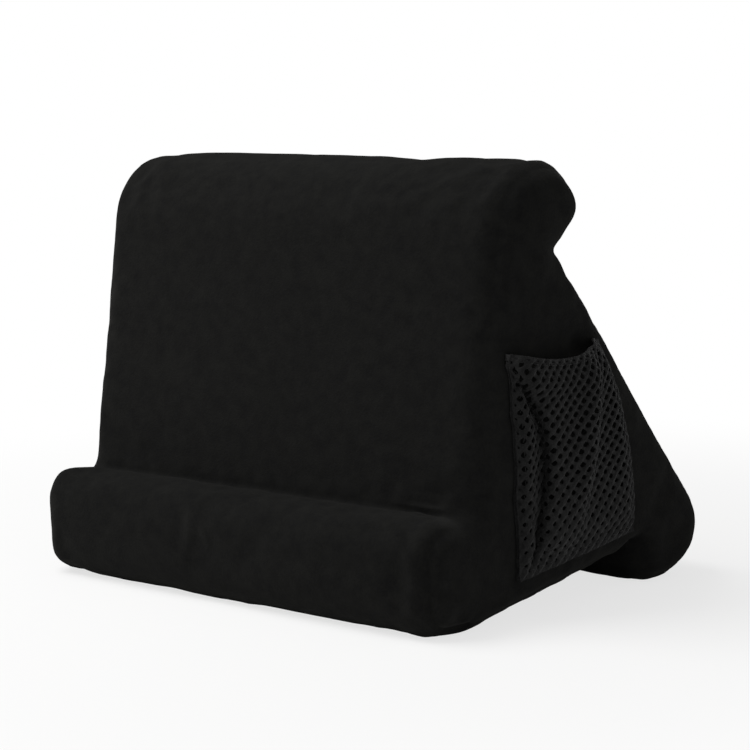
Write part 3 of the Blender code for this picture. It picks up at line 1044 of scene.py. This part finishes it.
stitches = bmesh.new()
near_u, far_u = ROW_FROM_EDGE, cloth_width - ROW_FROM_EDGE
low_v, high_v = ROW_FROM_EDGE, pocket_height - TOP_HEM
add_stitch_row(stitches, Vector((near_u, low_v)), Vector((near_u, high_v)))
add_stitch_row(stitches, Vector((near_u, low_v)), Vector((far_u, low_v)))
add_stitch_row(stitches, Vector((far_u, low_v)), Vector((far_u, high_v)))
add_stitch_row(stitches, Vector((near_u, high_v)), Vector((far_u, high_v)))
tack_width = TACK_STITCHES * TACK_STEP
tack_v = pocket_height - TACK_LENGTH - FOLD
add_bar_tack(stitches, Vector((FOLD, tack_v)))
add_bar_tack(stitches, Vector((cloth_width - FOLD - tack_width, tack_v)))
bmesh.ops.recalc_face_normals(stitches, faces=stitches.faces)
stitch_mesh = bpy.data.meshes.new("pocket_stitches")
stitches.to_mesh(stitch_mesh)
stitches.free()
stitch_mesh.shade_smooth()
thread = add_piece("pocket_stitches", stitch_mesh)
print("stitches:", len(thread.data.polygons), "faces")

# %% [markdown]
# ## Knitted net, elastic and thread
# The net's yarn is textured polyester, so it is matt and softer than it looks, and its
# loops stand up in small wales. It is a shade lighter than the plush because the light
# doesn't sink into a pile. The elastic is woven, with ribs along it, and the thread is
# spun polyester, which has a slight gloss because its fibres lie side by side.

# %% Net, elastic and thread
NET_WALE_MM = 1.7  # real wales are about 0.9 mm, too fine to show in the picture
NET_BUMP_MM = 0.55
NET_SHADE_MM = 4
NET_DARK = "#121212"
NET_LIGHT = "#1d1d1d"
NET_TURNS = (0.35, 0.65)
ELASTIC_BLACK = "#121212"
ELASTIC_RIB_MM = 0.25
THREAD_BLACK = "#151515"
THREAD_PLY_MM = 0.156
RIB_BUMP_MM = 0.15
BANDS_AT_ONE = 3.2  # about how many bands the wave texture has in a metre at a scale of 1


def make_net_material():
    """Knitted polyester: small wales across the strands, hardly any gloss."""
    material, tree = new_material("knitted_polyester_net")
    place = add_node(tree, "ShaderNodeTexCoord")
    loops = add_node(tree, "ShaderNodeTexVoronoi", {
        "Vector": (place, "Object"), "Scale": per_metre(NET_WALE_MM),
    })
    bump = add_node(tree, "ShaderNodeBump", {
        "Height": (loops, "Distance"), "Strength": 1, "Distance": NET_BUMP_MM * MM,
    })
    shade = add_node(tree, "ShaderNodeTexNoise", {
        "Vector": (place, "Object"), "Scale": per_metre(NET_SHADE_MM), "Detail": 2,
    })
    colour = two_tone(tree, (shade, "Fac"), NET_DARK, NET_LIGHT, NET_TURNS)
    shader = add_node(tree, "ShaderNodeBsdfPrincipled", {
        "Base Color": (colour, "Color"), "Roughness": 0.85, "IOR": 1.5,
        "Specular IOR Level": 0.12, "Sheen Weight": 0.03, "Sheen Roughness": 0.5,
        "Normal": (bump, "Normal"),
    })
    add_node(tree, "ShaderNodeOutputMaterial", {"Surface": (shader, "BSDF")})
    return material


def make_ribbed_material(name, colour, rib_mm, roughness):
    """Black yarn that shows fine ribs along its length."""
    material, tree = new_material(name)
    place = add_node(tree, "ShaderNodeTexCoord")
    ribs = add_node(tree, "ShaderNodeTexWave", {
        "Vector": (place, "Object"), "Scale": per_metre(rib_mm) / BANDS_AT_ONE,
        "Distortion": 1,
    }, wave_type="BANDS", bands_direction="Z")
    bump = add_node(tree, "ShaderNodeBump", {
        "Height": (ribs, "Fac"), "Strength": 0.6, "Distance": RIB_BUMP_MM * MM,
    })
    shader = add_node(tree, "ShaderNodeBsdfPrincipled", {
        "Base Color": linear(colour), "Roughness": roughness, "IOR": 1.5,
        "Specular IOR Level": 0.25, "Normal": (bump, "Normal"),
    })
    add_node(tree, "ShaderNodeOutputMaterial", {"Surface": (shader, "BSDF")})
    return material


net_material = make_net_material()
for piece in (net, hem, top_hem):
    piece.data.materials.append(net_material)
    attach(piece, "root")
elastic.data.materials.append(make_ribbed_material("woven_elastic", ELASTIC_BLACK,
                                                   ELASTIC_RIB_MM, roughness=0.7))
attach(elastic, "root")
thread.data.materials.append(make_ribbed_material("spun_polyester_thread", THREAD_BLACK,
                                                  THREAD_PLY_MM, roughness=0.55))
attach(thread, "root")
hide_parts("pocket_net")
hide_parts("pocket_elastic")
print("pocket pieces:", [piece.name for piece in (net, hem, top_hem, elastic, thread)])
